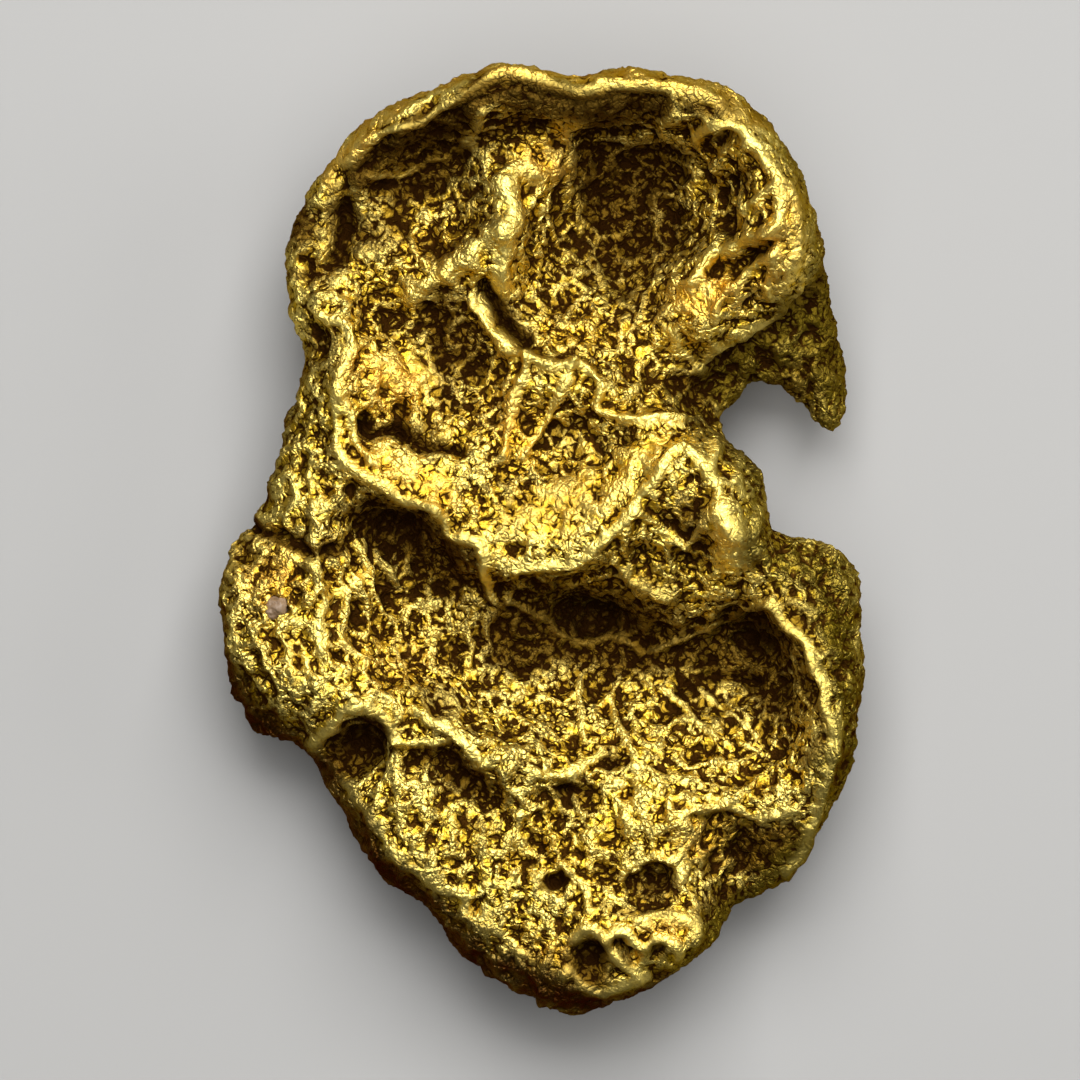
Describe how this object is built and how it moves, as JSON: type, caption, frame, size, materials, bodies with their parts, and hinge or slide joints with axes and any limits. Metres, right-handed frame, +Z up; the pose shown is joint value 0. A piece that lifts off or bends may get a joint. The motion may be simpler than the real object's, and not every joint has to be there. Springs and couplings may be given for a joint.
{
  "type": "gold nugget",
  "caption": "Natural gold nugget, a crumpled and water-worn sheet with cupped hollows, a hooked edge and a quartz grain lodged in it.",
  "frame": {"origin": "on the surface that it rests on, under the centre of its box", "axes": "+X across the nugget towards the side with the hook, +Y along it towards its widest rim, +Z up out of its cupped front"},
  "size_m": [0.0194, 0.0284, 0.0074],
  "materials": {
    "native_gold": "native gold, worn bright on the rims, frosted and pitted in the hollows, with brown iron stain",
    "quartz": "dull pinkish quartz, iron stained"
  },
  "bodies": {
    "root": {"gold_nugget": "native_gold", "quartz_grain": "quartz"}
  },
  "joints": []
}
